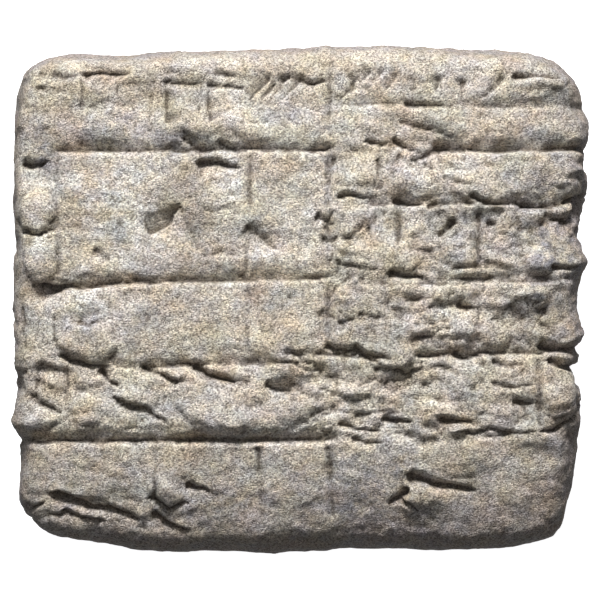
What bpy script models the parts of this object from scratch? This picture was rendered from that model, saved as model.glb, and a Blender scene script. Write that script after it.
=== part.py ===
"""Small clay tablet with lines of writing pressed into its face.

Units are metres. X runs along the lines of writing, Y up the written face and Z out of it.
The tablet lies on its reverse, and the origin is the middle of the flat spot underneath.
A place on the face is a pair of shares: of the width from the left, of the height from the bottom.
"""

import math
import random

import bmesh
import bpy
import numpy as np

# The body
WIDTH = 0.046
HEIGHT = 0.0404
THICKNESS = 0.016
WIDEST_LEVEL = 0.0084

# The edge all round: how far in from the outline the face and the reverse start to roll over
ROLL_RIGHT = 0.0026
ROLL_TOP = 0.0027
ROLL_LEFT = 0.0019
ROLL_BOTTOM = 0.0027
ROLL_REVERSE = 0.0105
FACE_ROLL_POWER = 2.6
REVERSE_ROLL_POWER = 2.2

# How far the face sinks towards each edge
SINK_RIGHT = 0.0012
SINK_TOP = 0.0004
SINK_LEFT = 0.0005
SINK_BOTTOM = 0.0028

# The outline: how square each corner is, how far each side reaches as a share of the half size,
# and the swells and dents of the edge as (bearing in degrees, share of the half size, spread in degrees)
CORNER_SQUARENESS = {45: 8.7, 135: 9.0, 225: 7.5, 315: 6.0}
SIDE_REACH = {0: 0.974, 90: 0.985, 180: 0.991, 270: 0.995}
EDGE_SWELLS = (
    (0, -0.004, 3),
    (10, -0.004, 5),
    (17, -0.010, 4),
    (23, 0.021, 4),
    (28, -0.016, 2),
    (29, 0.026, 8),
    (34, 0.020, 3),
    (42, 0.018, 5),
    (82, 0.010, 12),
    (124, -0.034, 8),
    (136, 0.012, 5),
    (154, 0.013, 6),
    (168, -0.009, 3),
    (200, -0.024, 4),
    (213, -0.026, 6),
    (218, 0.014, 3),
    (232, -0.034, 7),
    (280, -0.020, 5),
    (289, -0.021, 6),
    (314, 0.046, 5),
    (343, -0.026, 3),
)

# Swells and hollows of the face: (across, up, half length across, half length up, height)
FACE_SWELLS = (
    (0.053, 0.678, 0.00150, 0.00195, 0.00090),
    (0.060, 0.572, 0.00145, 0.00195, 0.00085),
    (0.055, 0.765, 0.00120, 0.00140, -0.00060),
    (0.075, 0.512, 0.00150, 0.00070, -0.00065),
    (0.142, 0.421, 0.00230, 0.00165, 0.00095),
    (0.148, 0.502, 0.00130, 0.00090, 0.00050),
    (0.262, 0.658, 0.00130, 0.00100, -0.00050),
    (0.335, 0.620, 0.00130, 0.00260, -0.00030),
    (0.445, 0.620, 0.00150, 0.00120, -0.00040),
    (0.350, 0.835, 0.00300, 0.00100, 0.00025),
    (0.925, 0.915, 0.00260, 0.00110, 0.00035),
    (0.885, 0.760, 0.00400, 0.00160, 0.00035),
    (0.680, 0.388, 0.00150, 0.00110, 0.00050),
    (0.951, 0.320, 0.00180, 0.00220, 0.00090),
    (0.275, 0.142, 0.00150, 0.00140, 0.00060),
    (0.696, 0.120, 0.00150, 0.00100, 0.00060),
    (0.525, 0.955, 0.00160, 0.00100, -0.00035),
    (0.500, 0.430, 0.00160, 0.00110, 0.00035),
    (0.610, 0.580, 0.00220, 0.00130, 0.00035),
    (0.730, 0.600, 0.00240, 0.00110, 0.00030),
)

# Ruled lines across the face: (from, to, up at the start, up at the end, share of the full depth)
RULE_DEPTH = 0.00070
RULE_UPPER_WIDTH = 0.00110
RULE_LOWER_WIDTH = 0.00026
RULES = (
    (0.55, 0.99, 0.878, 0.874, 0.4),
    (0.08, 0.56, 0.786, 0.789, 0.75),
    (0.72, 1.00, 0.788, 0.793, 1.0),
    (0.55, 1.01, 0.687, 0.684, 0.6),
    (0.08, 0.57, 0.532, 0.543, 0.6),
    (0.59, 0.98, 0.527, 0.541, 0.55),
    (0.18, 0.53, 0.371, 0.381, 0.85),
    (0.47, 0.66, 0.398, 0.388, 0.9),
    (0.69, 1.01, 0.393, 0.402, 0.9),
    (-0.01, 0.56, 0.2245, 0.231, 1.0),
    (0.55, 0.81, 0.250, 0.262, 0.4),
    (0.76, 0.89, 0.236, 0.240, 0.4),
)

# Upright divisions of the lines: (across at the top, across at the foot, up to, up from, share of the depth)
DIVISION_DEPTH = 0.00025
DIVISION_HALF_WIDTH = 0.00026
DIVISIONS = (
    (0.088, 0.092, 0.80, 0.54, 0.8),
    (0.252, 0.245, 0.95, 0.81, 0.5),
    (0.248, 0.240, 0.55, 0.38, 0.5),
    (0.415, 0.408, 0.79, 0.39, 0.7),
    (0.106, 0.106, 0.37, 0.23, 0.8),
    (0.412, 0.405, 0.37, 0.23, 0.8),
    (0.490, 0.488, 0.37, 0.24, 0.5),
    (0.253, 0.254, 0.22, 0.05, 1.0),
    (0.428, 0.436, 0.22, 0.05, 1.2),
    (0.552, 0.545, 0.95, 0.41, 1.0),
    (0.548, 0.556, 0.22, 0.08, 1.2),
    (0.636, 0.632, 0.80, 0.71, 0.8),
    (0.705, 0.700, 0.78, 0.70, 0.8),
    (0.666, 0.668, 0.70, 0.41, 1.0),
    (0.802, 0.800, 0.69, 0.41, 1.0),
    (0.869, 0.869, 0.69, 0.60, 0.9),
    (0.892, 0.892, 0.69, 0.60, 0.7),
    (0.904, 0.906, 0.39, 0.23, 1.2),
)

# Pressed strokes
STROKE_WIDTH = 0.00120
STROKE_DEPTH = 0.00060
STROKE_CLEARANCE = 0.00030
WORN_AWAY = 0.75
SEED = 14

# Groups of strokes: (left, right, bottom, top, layout, how many, share of the full depth).
# A group is left off where its share is under WORN_AWAY.
GROUPS = (
    (0.050, 0.120, 0.885, 0.950, "stack", 2, 0.7),
    (0.125, 0.205, 0.885, 0.955, "frame", 2, 0.8),
    (0.205, 0.255, 0.885, 0.930, "slant", 1, 0.6),
    (0.265, 0.345, 0.835, 0.945, "frame", 2, 0.9),
    (0.345, 0.420, 0.845, 0.940, "frame", 1, 0.7),
    (0.425, 0.505, 0.880, 0.950, "rise", 3, 0.7),
    (0.560, 0.600, 0.875, 0.940, "rise", 1, 1.0),
    (0.600, 0.665, 0.885, 0.950, "rise", 3, 0.7),
    (0.670, 0.790, 0.880, 0.950, "comb", 3, 0.8),
    (0.795, 0.870, 0.880, 0.955, "rise", 1, 1.1),
    (0.860, 0.965, 0.900, 0.955, "stack", 2, 0.7),
    (0.055, 0.115, 0.810, 0.835, "stack", 1, 0.8),
    (0.295, 0.345, 0.800, 0.830, "slant", 1, 1.0),
    (0.355, 0.415, 0.800, 0.830, "slant", 2, 1.0),
    (0.595, 0.700, 0.800, 0.835, "slant", 3, 1.0),
    (0.665, 0.750, 0.830, 0.855, "stack", 1, 0.9),
    (0.560, 0.650, 0.710, 0.790, "frame", 2, 1.0),
    (0.660, 0.730, 0.710, 0.790, "slant", 3, 0.9),
    (0.730, 0.800, 0.710, 0.780, "stack", 2, 0.8),
    (0.110, 0.230, 0.575, 0.660, "slant", 2, 0.4),
    (0.280, 0.400, 0.565, 0.640, "slant", 2, 0.7),
    (0.560, 0.650, 0.610, 0.685, "frame", 3, 0.9),
    (0.560, 0.650, 0.550, 0.600, "stack", 2, 0.7),
    (0.665, 0.790, 0.610, 0.690, "slant", 4, 0.9),
    (0.665, 0.790, 0.555, 0.605, "stack", 2, 0.8),
    (0.805, 0.900, 0.615, 0.690, "stack", 2, 0.8),
    (0.805, 0.900, 0.555, 0.605, "stack", 2, 0.8),
    (0.910, 0.970, 0.600, 0.680, "slant", 2, 0.9),
    (0.560, 0.650, 0.475, 0.535, "stack", 2, 0.8),
    (0.560, 0.650, 0.410, 0.465, "slant", 2, 0.8),
    (0.665, 0.790, 0.470, 0.535, "slant", 3, 0.7),
    (0.665, 0.790, 0.415, 0.465, "stack", 2, 0.6),
    (0.805, 0.900, 0.470, 0.530, "stack", 2, 0.8),
    (0.805, 0.900, 0.415, 0.465, "rise", 2, 0.8),
    (0.045, 0.110, 0.325, 0.375, "stack", 2, 0.9),
    (0.045, 0.110, 0.260, 0.320, "slant", 1, 1.0),
    (0.165, 0.245, 0.255, 0.310, "stack", 2, 1.0),
    (0.250, 0.320, 0.255, 0.310, "slant", 2, 1.0),
    (0.335, 0.420, 0.260, 0.320, "stack", 2, 0.6),
    (0.440, 0.540, 0.310, 0.380, "stack", 2, 1.0),
    (0.440, 0.540, 0.250, 0.305, "slant", 2, 0.6),
    (0.550, 0.645, 0.320, 0.385, "frame", 3, 0.9),
    (0.550, 0.645, 0.270, 0.315, "stack", 2, 0.8),
    (0.655, 0.730, 0.270, 0.385, "slant", 3, 0.9),
    (0.730, 0.800, 0.270, 0.385, "stack", 3, 0.7),
    (0.805, 0.900, 0.325, 0.390, "slant", 3, 0.9),
    (0.805, 0.900, 0.255, 0.320, "stack", 2, 0.7),
    (0.060, 0.170, 0.060, 0.135, "stack", 2, 1.3),
    (0.170, 0.240, 0.065, 0.135, "stack", 2, 1.1),
    (0.245, 0.320, 0.030, 0.090, "slant", 1, 1.2),
    (0.305, 0.375, 0.110, 0.145, "stack", 1, 1.0),
)
STACK_BEARING = math.radians(-8)
SLANT_BEARING = math.radians(-32)
COMB_BEARING = math.radians(-93)
RISE_BEARING = math.radians(-125)

# Breaks of the worn clay, as grooves that fall steeply above and gently below:
# (depth, width above, width below, across from, up from, across to, up to)
BREAKS = (
    (0.0008, 0.0005, 0.0012, 0.326, 0.766, 0.398, 0.758),
    (0.0006, 0.0007, 0.0006, 0.300, 0.812, 0.338, 0.785),
    (0.0006, 0.0007, 0.0006, 0.352, 0.800, 0.398, 0.778),
    (0.0006, 0.0008, 0.0006, 0.556, 0.690, 0.640, 0.692),
    (0.0006, 0.0007, 0.0006, 0.660, 0.688, 0.705, 0.674),
    (0.0009, 0.0008, 0.0006, 0.785, 0.700, 0.855, 0.684),
    (0.0009, 0.0008, 0.0006, 0.872, 0.690, 0.985, 0.692),
    (0.0007, 0.0007, 0.0007, 0.920, 0.656, 0.972, 0.666),
    (0.0007, 0.0006, 0.0006, 0.646, 0.806, 0.700, 0.786),
    (0.0005, 0.0005, 0.0009, 0.668, 0.840, 0.775, 0.802),
    (0.0007, 0.0007, 0.0006, 0.690, 0.768, 0.755, 0.792),
    (0.0008, 0.0007, 0.0007, 0.736, 0.624, 0.768, 0.660),
    (0.0009, 0.0006, 0.0009, 0.648, 0.552, 0.706, 0.540),
    (0.0007, 0.0005, 0.0007, 0.922, 0.562, 0.964, 0.560),
    (0.0005, 0.0006, 0.0007, 0.490, 0.394, 0.530, 0.370),
    (0.0009, 0.0008, 0.0007, 0.580, 0.407, 0.636, 0.380),
    (0.0007, 0.0006, 0.0007, 0.657, 0.360, 0.706, 0.376),
    (0.0009, 0.0008, 0.0007, 0.705, 0.396, 0.812, 0.392),
    (0.0010, 0.0009, 0.0007, 0.905, 0.406, 0.984, 0.406),
    (0.0008, 0.0006, 0.0007, 0.925, 0.378, 0.972, 0.364),
    (0.0008, 0.0006, 0.0006, 0.908, 0.243, 0.976, 0.285),
    (0.0007, 0.0006, 0.0006, 0.540, 0.238, 0.620, 0.248),
    (0.0008, 0.0005, 0.0007, 0.638, 0.266, 0.692, 0.264),
    (0.0007, 0.0005, 0.0007, 0.735, 0.267, 0.792, 0.265),
    (0.0009, 0.0006, 0.0006, 0.092, 0.394, 0.170, 0.374),
    (0.0007, 0.0006, 0.0007, 0.162, 0.366, 0.192, 0.334),
    (0.0009, 0.0006, 0.0009, 0.228, 0.370, 0.290, 0.340),
    (0.0010, 0.0007, 0.0009, 0.318, 0.372, 0.392, 0.338),
    (0.0007, 0.0004, 0.0009, 0.184, 0.306, 0.276, 0.264),
    (0.0006, 0.0004, 0.0009, 0.044, 0.317, 0.098, 0.280),
    (0.0008, 0.0007, 0.0007, 0.045, 0.522, 0.110, 0.516),
    (0.0010, 0.0005, 0.0010, 0.074, 0.122, 0.190, 0.088),
    (0.0008, 0.0004, 0.0009, 0.090, 0.090, 0.166, 0.070),
    (0.0008, 0.0006, 0.0006, 0.242, 0.113, 0.276, 0.094),
    (0.0009, 0.0004, 0.0009, 0.250, 0.082, 0.312, 0.050),
    (0.0009, 0.0006, 0.0009, 0.650, 0.106, 0.684, 0.136),
    (0.0010, 0.0007, 0.0010, 0.682, 0.160, 0.798, 0.128),
)

# Shape of a groove and of a wedge: how much of the depth is left at an open end, how fast it comes in
# along the length, and where the deep point of a wedge lies as shares of its length and its width
END_DEPTH_SHARE = 0.35
END_DEPTH_GAIN = 3
WEDGE_DEEP_ALONG = 0.25
WEDGE_DEEP_ASIDE = 0.12

# Where strokes lie in the box of their group, as shares of the box, and how far their bearing sways
STROKE_SWAY = math.radians(7)
STROKE_LENGTH_SWAY = 0.12
HEAD_SWAY = 0.08
STACK_LENGTH = 0.84
COMB_LENGTH = 0.78
RISE_LENGTH = 0.95
SLANT_LENGTH = 1.10
FRAME_TOP = 0.10
SLANT_TOP = 0.15
SLANT_FALL = 0.30
STROKE_RISE_START = 0.80

# How far out, as a share of the half size, the face's height is followed
FOLLOW_REACH = 0.94

# How fine the faces are: squares across, up and down the side, and steps along a ruled line
FACE_CELLS_ACROSS = 28
FACE_CELLS_UP = 24
SIDE_CELLS = 6
GROOVE_STEP = 0.0020
FACE_BORDER_TURN = math.radians(35)
REVERSE_BORDER_TURN = math.radians(45)

CLAY_COLOUR = (0.38, 0.34, 0.29, 1.0)
CLAY_ROUGHNESS = 0.85


def blend_round(bearing, values):
    """Mixes four values, each given for its bearing in degrees, by the squared cosine to it."""
    return sum(
        value * np.maximum(0, np.cos(bearing - math.radians(degrees))) ** 2
        for degrees, value in values.items()
    )


def outline_radius(bearing):
    """Distance of the edge from the middle at a bearing, as a share of the half size."""
    cosine = np.cos(bearing)
    sine = np.sin(bearing)
    reach_across = np.where(cosine > 0, SIDE_REACH[0], SIDE_REACH[180])
    reach_up = np.where(sine > 0, SIDE_REACH[90], SIDE_REACH[270])
    power = blend_round(bearing, CORNER_SQUARENESS)
    radius = (np.abs(cosine / reach_across) ** power + np.abs(sine / reach_up) ** power) ** (-1 / power)
    for degrees, height, spread in EDGE_SWELLS:
        away = (np.degrees(bearing) - degrees + 180) % 360 - 180
        radius = radius + height * np.exp(-((away / spread) ** 2))
    return radius


def outline_box():
    """Middle and half size of the outline in shares, so that it can be fitted to WIDTH and HEIGHT."""
    bearing = np.radians(np.arange(0, 360, 0.25))
    radius = outline_radius(bearing)
    edge = np.stack([radius * np.cos(bearing), radius * np.sin(bearing)], axis=1)
    return (edge.max(axis=0) + edge.min(axis=0)) / 2, (edge.max(axis=0) - edge.min(axis=0)) / 2


OUTLINE_MIDDLE, OUTLINE_HALF = outline_box()
HALF_SIZE = np.array([WIDTH, HEIGHT]) / 2


def to_metres(shares):
    return (shares - OUTLINE_MIDDLE) / OUTLINE_HALF * HALF_SIZE


def to_shares(metres):
    return metres / HALF_SIZE * OUTLINE_HALF + OUTLINE_MIDDLE


def face_place(across, up):
    """Metres of a place on the face that is given from its left and bottom."""
    return np.array([(across - 0.5) * WIDTH, (up - 0.5) * HEIGHT])


def roll_start(bearing, reverse=False):
    """Share of the outline radius at which the face, or the reverse, starts to roll over."""
    radius = np.hypot(np.cos(bearing) * HALF_SIZE[0], np.sin(bearing) * HALF_SIZE[1])
    radius = radius * outline_radius(bearing)
    if reverse:
        return 1 - ROLL_REVERSE / radius
    rolls = {0: ROLL_RIGHT, 90: ROLL_TOP, 180: ROLL_LEFT, 270: ROLL_BOTTOM}
    return 1 - blend_round(bearing, rolls) / radius


def rolled_height(out, start, power):
    """Height share, 1 on the flat and 0 at the outline, of a superellipse between start and 1."""
    way = np.clip((out - start) / (1 - start), 0, 1)
    return (1 - way**power) ** (1 / power)


def swells_at(metres):
    total = np.zeros(len(metres))
    for across, up, half_across, half_up, height in FACE_SWELLS:
        away = (metres - face_place(across, up)) / (half_across, half_up)
        total = total + height * np.exp(-(away**2).sum(axis=1))
    return total


def raw_face_height(metres):
    """Height of the uncut face over the widest level, before it is fitted to THICKNESS."""
    shares = to_shares(metres)
    bearing = np.arctan2(shares[:, 1], shares[:, 0])
    out = np.hypot(shares[:, 0], shares[:, 1]) / outline_radius(bearing)
    rolled = rolled_height(out, roll_start(bearing), FACE_ROLL_POWER)
    sink = SINK_RIGHT * np.maximum(0, shares[:, 0]) ** 3 + SINK_LEFT * np.maximum(0, -shares[:, 0]) ** 3
    sink = sink + SINK_TOP * np.maximum(0, shares[:, 1]) ** 3
    sink = sink + SINK_BOTTOM * np.maximum(0, -shares[:, 1]) ** 3
    return (THICKNESS - WIDEST_LEVEL - sink + swells_at(metres)) * rolled


def highest_face():
    """The highest point of the uncut face over the widest level, found on a fine net of places."""
    steps = np.linspace(-0.98, 0.98, 120)
    across, up = np.meshgrid(steps, steps)
    return raw_face_height(np.stack([across.ravel(), up.ravel()], axis=1) * HALF_SIZE).max()


FACE_FIT = (THICKNESS - WIDEST_LEVEL) / highest_face()


def face_height(metres):
    return WIDEST_LEVEL + raw_face_height(metres) * FACE_FIT


def body_points(cube):
    """Moves the points of a cube, two units wide, onto the tablet. The cube's top is the face."""
    level = cube[:, 2]
    bearing = np.arctan2(cube[:, 1], cube[:, 0])
    spread = np.maximum(np.abs(cube[:, 0]), np.abs(cube[:, 1]))
    upper = level >= 0
    power = np.where(upper, FACE_ROLL_POWER, REVERSE_ROLL_POWER)
    border_turn = np.where(upper, FACE_BORDER_TURN, REVERSE_BORDER_TURN)
    start = np.where(upper, roll_start(bearing), roll_start(bearing, reverse=True))
    turn = border_turn + (math.pi / 2 - border_turn) * (1 - np.abs(level))
    out = spread * (start + (1 - start) * np.sin(turn) ** (2 / power))
    radius = out * outline_radius(bearing)
    metres = to_metres(np.stack([radius * np.cos(bearing), radius * np.sin(bearing)], axis=1))
    height = np.where(
        upper,
        face_height(metres),
        WIDEST_LEVEL * (1 - rolled_height(out, start, power)),
    )
    return np.column_stack([metres, height])


def new_object(name, shape, collection):
    mesh = bpy.data.meshes.new(name)
    shape.to_mesh(mesh)
    shape.free()
    made = bpy.data.objects.new(name, mesh)
    collection.objects.link(made)
    return made


def move_points(shape, places):
    for vert, place in zip(shape.verts, places):
        vert.co = place


def make_body(collection):
    """The uncut tablet: a cube divided into squares, each point then moved onto the form."""
    shape = bmesh.new()
    bmesh.ops.create_cube(shape, size=2)
    for axis, cells in enumerate((FACE_CELLS_ACROSS, FACE_CELLS_UP, SIDE_CELLS)):
        along = [
            edge
            for edge in shape.edges
            if abs(edge.verts[0].co[axis] - edge.verts[1].co[axis]) > 1
        ]
        bmesh.ops.subdivide_edges(shape, edges=along, cuts=cells - 1, use_grid_fill=True)
    cube = np.array([vert.co[:] for vert in shape.verts])
    move_points(shape, body_points(cube))
    bmesh.ops.recalc_face_normals(shape, faces=shape.faces)
    return new_object("tablet", shape, collection)


def add_groove(shape, start, end, depth, left_width, right_width):
    """A three-sided bar sunk into the face from start to end, with its sharp edge below.

    It follows the height of the face, and its sides rise past the face by the clearance.
    """
    run = end - start
    steps = max(2, round(math.hypot(*run) / GROOVE_STEP))
    bar = bmesh.new()
    bmesh.ops.create_cone(bar, segments=3, radius1=1, radius2=1, depth=1, cap_ends=True)
    long_edges = [edge for edge in bar.edges if abs(edge.verts[0].co.z - edge.verts[1].co.z) > 0.5]
    bmesh.ops.subdivide_edges(bar, edges=long_edges, cuts=steps - 1)
    corner_points = np.array([vert.co[:] for vert in bar.verts])
    way = corner_points[:, 2] + 0.5
    corner = np.round(np.degrees(np.arctan2(corner_points[:, 1], corner_points[:, 0])) / 120).astype(int) % 3
    middle = start + way[:, None] * run
    side = np.array([-run[1], run[0]]) / math.hypot(*run)
    inside = np.clip(middle, -FOLLOW_REACH * HALF_SIZE, FOLLOW_REACH * HALF_SIZE)
    surface = face_height(inside)
    faded = depth * np.clip(END_DEPTH_SHARE + END_DEPTH_GAIN * np.minimum(way, 1 - way), 0, 1)
    widen = (faded + STROKE_CLEARANCE) / faded
    offset = np.choose(corner, [np.zeros(len(way)), left_width * widen, -right_width * widen])
    lift = np.where(corner == 0, -faded, STROKE_CLEARANCE)
    move_points(bar, np.column_stack([middle + offset[:, None] * side, surface + lift]))
    bmesh.ops.recalc_face_normals(bar, faces=bar.faces)
    mesh = bpy.data.meshes.new("groove")
    bar.to_mesh(mesh)
    bar.free()
    shape.from_mesh(mesh)
    bpy.data.meshes.remove(mesh)


def add_wedge(shape, head, bearing, length, width, depth):
    """A pyramid pressed in point down: a broad head, a long tail, and its deep point near the head."""
    along = np.array([math.cos(bearing), math.sin(bearing)])
    side = np.array([-along[1], along[0]])
    corners = np.array([head + side * width / 2, head - side * width / 2, head + along * length])
    deepest = head + along * length * WEDGE_DEEP_ALONG + side * width * WEDGE_DEEP_ASIDE
    widen = (depth + STROKE_CLEARANCE) / depth
    corners = deepest + (corners - deepest) * widen
    rims = face_height(corners) + STROKE_CLEARANCE
    floor = face_height(deepest[None])[0] - depth
    cone = bmesh.ops.create_cone(shape, segments=3, radius1=1, radius2=0, depth=1, cap_ends=True)
    rim_verts = sorted(cone["verts"], key=lambda vert: vert.co.z)
    for vert, corner, rim in zip(rim_verts, corners, rims):
        vert.co = (*corner, rim)
    rim_verts[3].co = (*deepest, floor)


def strokes_of(group, chance):
    """Head, bearing, length and depth of each stroke that fills a group's box in its layout."""
    left, right, bottom, top, layout, count, depth = group
    low = face_place(left, bottom)
    high = face_place(right, top)
    size = high - low
    for number in range(count):
        way = (number + 0.5) / count
        sway = chance.uniform(-1, 1)
        length_sway = STROKE_LENGTH_SWAY * sway
        head_sway = HEAD_SWAY * sway
        if layout == "stack" or (layout == "frame" and number == 0):
            down = way if layout == "stack" else FRAME_TOP
            place = (HEAD_SWAY + head_sway, 1 - down)
            bearing = STACK_BEARING
            length = size[0] * (STACK_LENGTH + length_sway)
        elif layout in ("comb", "frame"):
            place = (way, 1 - FRAME_TOP - head_sway)
            bearing = COMB_BEARING
            length = size[1] * (COMB_LENGTH + length_sway)
        elif layout == "rise":
            place = ((number + STROKE_RISE_START) / count, 1 - HEAD_SWAY - head_sway)
            bearing = RISE_BEARING
            length = size[1] * (RISE_LENGTH + length_sway)
        else:
            place = (number / count, 1 - SLANT_TOP - SLANT_FALL * way)
            bearing = SLANT_BEARING
            length = size[0] / count * (SLANT_LENGTH + length_sway)
        yield low + size * place, bearing + STROKE_SWAY * sway, length, STROKE_DEPTH * depth


def fill_rules(shape):
    for left, right, up_left, up_right, depth in RULES:
        add_groove(
            shape,
            face_place(left, up_left),
            face_place(right, up_right),
            RULE_DEPTH * depth,
            RULE_UPPER_WIDTH,
            RULE_LOWER_WIDTH,
        )


def fill_divisions(shape):
    for across_top, across_foot, top, foot, depth in DIVISIONS:
        add_groove(
            shape,
            face_place(across_top, top),
            face_place(across_foot, foot),
            DIVISION_DEPTH * depth,
            DIVISION_HALF_WIDTH,
            DIVISION_HALF_WIDTH,
        )


def fill_strokes(shape):
    chance = random.Random(SEED)
    for group in GROUPS:
        for head, bearing, length, depth in strokes_of(group, chance):
            if depth >= STROKE_DEPTH * WORN_AWAY:
                add_wedge(shape, head, bearing, length, STROKE_WIDTH, depth)


def fill_breaks(shape):
    for depth, width_above, width_below, left, up_left, right, up_right in BREAKS:
        start = face_place(left, up_left)
        end = face_place(right, up_right)
        add_groove(shape, start, end, depth, width_above, width_below)


def make_cutter(name, collection):
    """Everything that is pressed into the face, as one object that cuts it."""
    shape = bmesh.new()
    fill_rules(shape)
    fill_divisions(shape)
    fill_strokes(shape)
    fill_breaks(shape)
    bmesh.ops.recalc_face_normals(shape, faces=shape.faces)
    cutter = new_object(name, shape, collection)
    cutter.hide_render = True
    cutter.display_type = "WIRE"
    return cutter


def cut(body, cutter):
    modifier = body.modifiers.new("Cut " + cutter.name, "BOOLEAN")
    modifier.operation = "DIFFERENCE"
    modifier.solver = "EXACT"
    modifier.use_self = True
    modifier.object = cutter


def clay_material():
    material = bpy.data.materials.new("Dried clay")
    material.use_nodes = True
    surface = material.node_tree.nodes["Principled BSDF"]
    surface.inputs["Base Color"].default_value = CLAY_COLOUR
    surface.inputs["Roughness"].default_value = CLAY_ROUGHNESS
    surface.inputs["Metallic"].default_value = 0.0
    material.diffuse_color = CLAY_COLOUR
    return material


def main():
    for old in list(bpy.data.objects):
        bpy.data.objects.remove(old, do_unlink=True)
    parts = bpy.data.collections.new("Clay tablet")
    cutters = bpy.data.collections.new("Cutters")
    cutters.hide_render = True
    for collection in (parts, cutters):
        bpy.context.scene.collection.children.link(collection)
    tablet = make_body(parts)
    tablet.data.materials.append(clay_material())
    cut(tablet, make_cutter("carving", cutters))


main()
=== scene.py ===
import math
import random

import bpy
import numpy as np
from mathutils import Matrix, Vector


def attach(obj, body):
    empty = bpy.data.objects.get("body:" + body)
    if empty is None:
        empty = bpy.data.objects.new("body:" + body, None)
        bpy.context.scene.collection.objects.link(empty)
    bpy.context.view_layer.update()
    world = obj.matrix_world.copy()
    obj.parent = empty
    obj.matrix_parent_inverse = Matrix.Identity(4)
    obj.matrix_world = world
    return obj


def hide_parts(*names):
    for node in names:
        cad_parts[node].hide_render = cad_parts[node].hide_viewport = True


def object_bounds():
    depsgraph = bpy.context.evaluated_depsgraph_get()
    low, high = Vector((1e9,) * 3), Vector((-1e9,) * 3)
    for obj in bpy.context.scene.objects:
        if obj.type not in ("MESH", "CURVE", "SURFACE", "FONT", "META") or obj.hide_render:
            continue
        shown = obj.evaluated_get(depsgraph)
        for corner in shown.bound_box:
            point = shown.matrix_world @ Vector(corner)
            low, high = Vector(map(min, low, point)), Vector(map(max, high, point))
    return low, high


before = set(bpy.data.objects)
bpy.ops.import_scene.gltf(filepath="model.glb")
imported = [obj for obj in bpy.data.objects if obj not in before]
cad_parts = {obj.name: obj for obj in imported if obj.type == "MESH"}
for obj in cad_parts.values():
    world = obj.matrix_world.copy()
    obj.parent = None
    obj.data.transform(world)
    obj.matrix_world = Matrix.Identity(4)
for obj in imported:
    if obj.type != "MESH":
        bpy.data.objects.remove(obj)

cadLow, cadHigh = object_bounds()
mm = 0.001
print("frame loaded")

# The lump of clay. Places on the face are thousandths of its width from the left and of its height from
# the bottom, bearings are degrees round the face from +X, and rows of tables give lengths in millimetres.
lump = {
    "width": cadHigh[0] - cadLow[0],
    "height": cadHigh[1] - cadLow[1],
    "thickness": cadHigh[2] - cadLow[2],
    "widestLevel": 8.4 * mm,
    "reliefRoom": 0.15 * mm,
    "faceRoll": {0: 2.6 * mm, 90: 2.7 * mm, 180: 1.9 * mm, 270: 2.7 * mm},
    "reverseRoll": 10.5 * mm,
    "faceRollPower": 2.6,
    "reverseRollPower": 2.2,
    "sink": {0: 1.2 * mm, 90: 0.4 * mm, 180: 0.5 * mm, 270: 2.8 * mm},
    "sinkPower": 3,
    "cornerSquareness": {45: 8.7, 135: 9.0, 225: 7.5, 315: 6.0},
    "sideReach": {0: 0.974, 90: 0.985, 180: 0.991, 270: 0.995},
    "edgeSwells": (  # bearing, share of the half size, spread in degrees
        (0, -0.004, 3), (10, -0.004, 5), (17, -0.01, 4), (23, 0.021, 4), (28, -0.016, 2), (29, 0.026, 8),
        (34, 0.02, 3), (42, 0.018, 5), (82, 0.01, 12), (124, -0.034, 8), (136, 0.012, 5), (154, 0.013, 6),
        (168, -0.009, 3), (200, -0.024, 4), (213, -0.026, 6), (218, 0.014, 3), (232, -0.034, 7),
        (280, -0.02, 5), (289, -0.021, 6), (314, 0.046, 5), (343, -0.026, 3),
    ),
    "faceSwells": (  # across, up, half length across, half length up, height
        (52, 680, 1.5, 2, 0.5), (60, 572, 1.5, 2, 0.5), (52, 743, 1.2, 1.3, -0.75),
        (75, 512, 1.5, 0.7, -0.65), (142, 421, 2.3, 1.6, 0.5), (148, 502, 1.3, 0.9, 0.4),
        (262, 658, 1.3, 1, -0.5), (335, 620, 1.3, 2.6, -0.3), (445, 620, 1.5, 1.2, -0.4),
        (350, 835, 3, 1, 0.25), (925, 915, 2.6, 1.1, 0.35), (885, 760, 4, 1.6, 0.35),
        (680, 388, 1.5, 1.1, 0.5), (950, 318, 1.8, 1.8, 0.5), (275, 142, 1.5, 1.4, 0.6),
        (696, 120, 1.5, 1, 0.6), (525, 955, 1.6, 1, -0.35), (500, 430, 1.6, 1.1, 0.35),
        (610, 580, 2.2, 1.3, 0.35), (730, 600, 2.4, 1.1, 0.3),
    ),
}

# How many cells the surface has: even numbers across and up, because the reverse has half as many.
net = {
    "across": 236,
    "up": 208,
    "upperSide": 24,
    "lowerSide": 24,
    "faceBorderTurn": math.radians(35),
    "reverseBorderTurn": math.radians(45),
}

halfSize = np.array([lump["width"], lump["height"]]) / 2


# Four values, each given for a bearing, mixed by the squared cosine of the angle to it.
def blendRound(bearing, values):
    return sum(v * np.maximum(0, np.cos(bearing - math.radians(d))) ** 2 for d, v in values.items())


# The edge at a bearing as a share of the half size: a superellipse whose power changes from corner
# to corner, plus a bell curve for each swell or dent.
def edgeRadius(bearing):
    cosine, sine = np.cos(bearing), np.sin(bearing)
    reach = lump["sideReach"]
    acrossReach = np.where(cosine > 0, reach[0], reach[180])
    upReach = np.where(sine > 0, reach[90], reach[270])
    power = blendRound(bearing, lump["cornerSquareness"])
    radius = (np.abs(cosine / acrossReach) ** power + np.abs(sine / upReach) ** power) ** (-1 / power)
    for degrees, height, spread in lump["edgeSwells"]:
        away = (np.degrees(bearing) - degrees + 180) % 360 - 180
        radius = radius + height * np.exp(-((away / spread) ** 2))
    return radius


# Places at a radius along each bearing.
def polarPlaces(radius, bearing):
    return radius[:, None] * np.stack([np.cos(bearing), np.sin(bearing)], axis=1)


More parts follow.
